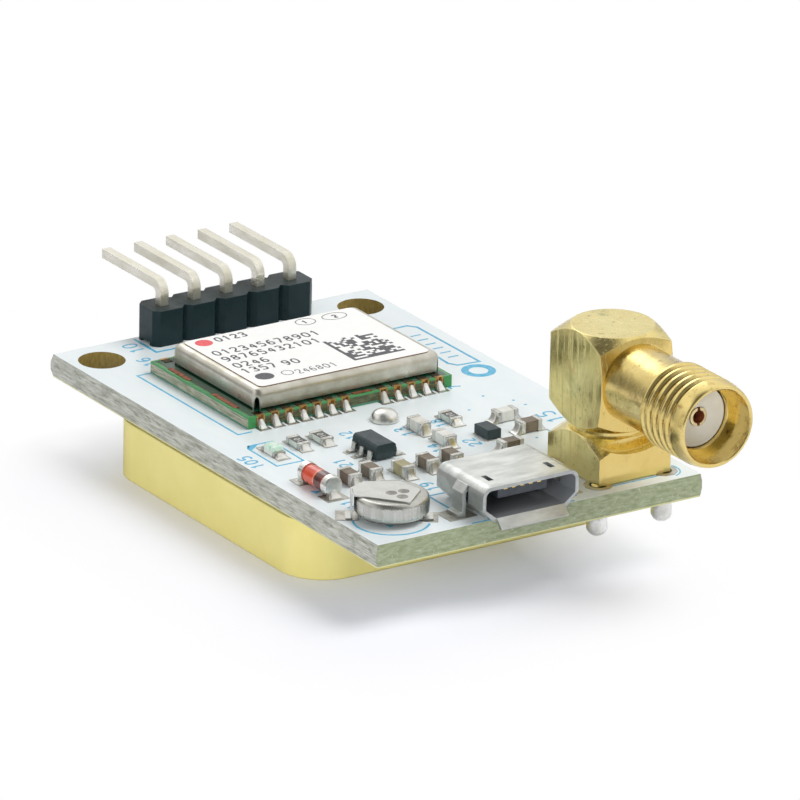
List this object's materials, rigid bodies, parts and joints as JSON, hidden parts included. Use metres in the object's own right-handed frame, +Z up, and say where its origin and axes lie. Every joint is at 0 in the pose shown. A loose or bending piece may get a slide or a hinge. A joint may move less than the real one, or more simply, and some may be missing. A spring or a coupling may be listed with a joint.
{
  "type": "gps module",
  "caption": "White receiver board lying on a ceramic patch antenna, with a shielded receiver, bent pin header, right-angle coaxial jack, small USB socket and backup cell.",
  "frame": {"origin": "centre of the lower face of the ceramic antenna, on which the module rests", "axes": "+X right along the front edge of the board, +Y along the board from the USB socket to the pin header, +Z up out of the component side"},
  "size_m": [0.0252, 0.0541, 0.0156],
  "materials": {
    "board_white": "satin white solder mask on glass fibre",
    "tinned_pads": "tinned copper",
    "ceramic_yellow": "unglazed yellow ceramic",
    "silver_layer": "fired silver",
    "tape_white": "foam tape",
    "solder": "bright solder",
    "module_green": "green solder mask",
    "gold_pads": "gold plated copper",
    "shield_steel": "satin tinned steel",
    "label_white": "printed paper",
    "header_black": "black nylon",
    "pin_tin": "tinned brass",
    "jack_gold": "gold plated brass",
    "dielectric_white": "white fluoropolymer",
    "usb_steel": "nickel plated steel",
    "usb_black": "black moulding",
    "cell_steel": "polished steel",
    "gasket_grey": "dark grommet",
    "glass_orange": "orange glass",
    "chip_black": "black moulding compound",
    "led_pale": "pale base",
    "led_clear": "clear moulding",
    "resistor_dark": "dark glaze on ceramic",
    "capacitor_brown": "brown ceramic",
    "inductor_pale": "pale ceramic"
  },
  "bodies": {
    "root": {"amplifier_body": "chip_black", "amplifier_terminals": "tinned_pads", "antenna_ceramic": "ceramic_yellow", "antenna_feed_pin": "pin_tin", "antenna_feed_solder": "solder", "antenna_ground_layer": "silver_layer", "antenna_patch": "silver_layer", "antenna_tape": "tape_white", "board_pads": "tinned_pads", "capacitor_1": "capacitor_brown", "capacitor_2": "capacitor_brown", "capacitor_3": "capacitor_brown", "capacitor_4": "capacitor_brown", "capacitor_5": "capacitor_brown", "capacitor_6": "capacitor_brown", "capacitor_7": "capacitor_brown", "capacitor_8": "capacitor_brown", "capacitor_terminals": "solder", "cell_bottom_tab": "cell_steel", "cell_can": "cell_steel", "cell_cap": "cell_steel", "cell_gasket": "gasket_grey", "cell_top_tab": "cell_steel", "chip_solder": "solder", "circuit_board": "board_white", "coax_barrel": "jack_gold", "coax_body": "jack_gold", "coax_dielectric": "dielectric_white", "coax_socket": "jack_gold", "coax_solder": "solder", "diode_end_caps": "solder", "diode_glass": "glass_orange", "header_housing": "header_black", "header_pin_1": "pin_tin", "header_pin_2": "pin_tin", "header_pin_3": "pin_tin", "header_pin_4": "pin_tin", "header_pin_5": "pin_tin", "header_solder": "solder", "inductor_1": "inductor_pale", "inductor_2": "inductor_pale", "inductor_terminals": "solder", "led_base": "led_pale", "led_lens": "led_clear", "led_terminals": "tinned_pads", "receiver_edge_pads": "gold_pads", "receiver_label": "label_white", "receiver_shield": "shield_steel", "receiver_solder": "solder", "receiver_substrate": "module_green", "regulator_body": "chip_black", "regulator_leads": "pin_tin", "resistor_1": "resistor_dark", "resistor_2": "resistor_dark", "resistor_3": "resistor_dark", "resistor_terminals": "solder", "usb_contacts": "gold_pads", "usb_insulator": "usb_black", "usb_shell": "usb_steel"}
  },
  "joints": []
}
